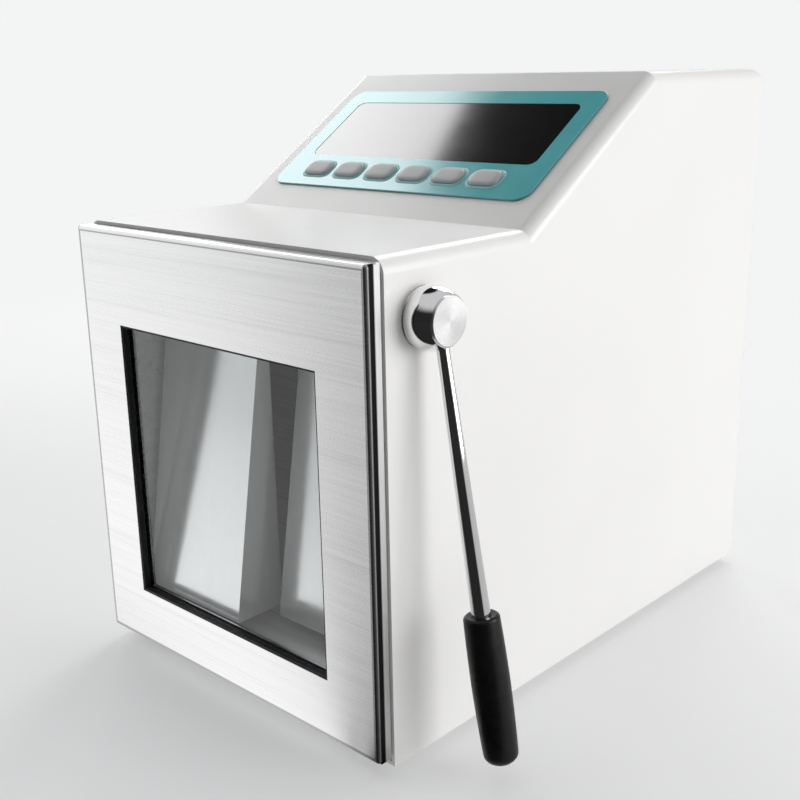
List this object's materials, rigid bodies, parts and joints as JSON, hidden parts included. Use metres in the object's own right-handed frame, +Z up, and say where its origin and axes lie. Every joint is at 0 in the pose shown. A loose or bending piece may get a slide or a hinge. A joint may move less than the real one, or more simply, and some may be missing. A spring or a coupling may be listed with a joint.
{
  "type": "paddle blender homogenizer",
  "caption": "Bench homogenizer that beats a sample bag with two paddles behind a glazed steel door; side lever opens the door, sloped key panel above",
  "frame": {"origin": "on the bench surface, under the middle of the casing's footprint (door closed, lever left out)", "axes": "+Z up, the door faces -Y, the lever is on +X"},
  "size_m": [0.2921, 0.3716, 0.347],
  "materials": {
    "casing_paint": "satin off-white stove enamel",
    "brushed_steel": "fine horizontal brushing",
    "sheet_steel": "plain zinc-plated sheet",
    "chrome": "polished",
    "spun_aluminium": "spun face",
    "cast_aluminium": "machined casting",
    "bronze": "plain bearing",
    "black_rubber": "matt",
    "glass": "clear",
    "panel_film": "aqua printed film",
    "display_black": "glossy",
    "key_grey": "satin",
    "black_plastic": "fine texture",
    "board": "lacquered board",
    "motor_paint": "satin"
  },
  "bodies": {
    "housing": {"outer_casing": "casing_paint", "base_plate": "sheet_steel", "rear_panel": "sheet_steel", "front_rim": "casing_paint", "chamber_tub": "brushed_steel", "chamber_seal": "black_rubber", "hinge_brackets": "sheet_steel", "hinge_pins": "chrome", "shaft_bushes": "bronze", "dome_escutcheon": "chrome", "panel_overlay": "panel_film", "display_window": "display_black", "display_module": "board", "keypad_board": "board", "guide_block": "cast_aluminium", "rod_bushes": "bronze", "crank_supports": "cast_aluminium", "gearbox": "cast_aluminium", "motor": "motor_paint", "motor_saddle": "sheet_steel", "power_supply": "sheet_steel", "power_inlet": "black_plastic", "switch_body": "black_plastic", "feet": "black_rubber", "foot_screws": "sheet_steel", "cover_screws": "chrome"},
    "door": {"door_frame": "brushed_steel", "door_glass": "glass", "window_gasket": "black_rubber", "door_inner_panel": "brushed_steel", "hinge_knuckles": "sheet_steel", "door_arm_left": "sheet_steel", "door_arm_right": "sheet_steel", "door_screws": "chrome"},
    "lever": {"lever_shaft": "chrome", "crank_arm_left": "sheet_steel", "crank_arm_right": "sheet_steel", "arm_rollers": "chrome", "lever_hub": "chrome", "hub_cap": "spun_aluminium", "lever_rod": "chrome", "lever_grip": "black_rubber"},
    "paddle_left": {"paddle_left": "brushed_steel", "push_rod_left": "chrome", "yoke_left": "cast_aluminium"},
    "paddle_right": {"paddle_right": "brushed_steel", "push_rod_right": "chrome", "yoke_right": "cast_aluminium"},
    "crank": {"crankshaft": "chrome", "eccentrics": "sheet_steel", "eccentric_bearings": "chrome"},
    "rocker": {"switch_rocker": "black_plastic"},
    "button_1": {"button_1": "key_grey"},
    "button_2": {"button_2": "key_grey"},
    "button_3": {"button_3": "key_grey"},
    "button_4": {"button_4": "key_grey"},
    "button_5": {"button_5": "key_grey"},
    "button_6": {"button_6": "key_grey"}
  },
  "joints": [
    {"name": "lever_swing", "type": "hinge", "parent": "housing", "child": "lever", "pos_m": [0.12, -0.1488, 0.2377], "axis": [-1, 0, 0], "range_deg": [0, 110]},
    {"name": "door_tilt", "type": "hinge", "parent": "housing", "child": "door", "pos_m": [0, -0.171, 0.011], "axis": [1, 0, 0], "range_deg": [0, 30.01]},
    {"name": "crank_turn", "type": "hinge", "parent": "housing", "child": "crank", "pos_m": [0, -0.01928, 0.13], "axis": [1, 0, 0], "range_deg": [0, 180]},
    {"name": "paddle_left_slide", "type": "slide", "parent": "housing", "child": "paddle_left", "axis": [0, 1, 0], "range_m": [0, 0.023]},
    {"name": "paddle_right_slide", "type": "slide", "parent": "housing", "child": "paddle_right", "axis": [0, -1, 0], "range_m": [0, 0.023]},
    {"name": "switch_rock", "type": "hinge", "parent": "housing", "child": "rocker", "pos_m": [0.018, 0.18, 0.063], "axis": [-1, 0, 0], "range_deg": [0, 18]},
    {"name": "button_1_press", "type": "slide", "parent": "housing", "child": "button_1", "axis": [0, 0.5514, -0.8342], "range_m": [0, 0.0008], "stiffness_N_per_m": 800, "springref_m": -0.001},
    {"name": "button_2_press", "type": "slide", "parent": "housing", "child": "button_2", "axis": [0, 0.5514, -0.8342], "range_m": [0, 0.0008], "stiffness_N_per_m": 800, "springref_m": -0.001},
    {"name": "button_3_press", "type": "slide", "parent": "housing", "child": "button_3", "axis": [0, 0.5514, -0.8342], "range_m": [0, 0.0008], "stiffness_N_per_m": 800, "springref_m": -0.001},
    {"name": "button_4_press", "type": "slide", "parent": "housing", "child": "button_4", "axis": [0, 0.5514, -0.8342], "range_m": [0, 0.0008], "stiffness_N_per_m": 800, "springref_m": -0.001},
    {"name": "button_5_press", "type": "slide", "parent": "housing", "child": "button_5", "axis": [0, 0.5514, -0.8342], "range_m": [0, 0.0008], "stiffness_N_per_m": 800, "springref_m": -0.001},
    {"name": "button_6_press", "type": "slide", "parent": "housing", "child": "button_6", "axis": [0, 0.5514, -0.8342], "range_m": [0, 0.0008], "stiffness_N_per_m": 800, "springref_m": -0.001}
  ],
  "couplings": [
    {"joint": "door_tilt", "follows": "lever_swing", "ratio": 0.27273},
    {"joint": "paddle_left_slide", "follows": "crank_turn", "m_per_rad": 0.00732},
    {"joint": "paddle_right_slide", "follows": "crank_turn", "m_per_rad": 0.00732}
  ]
}
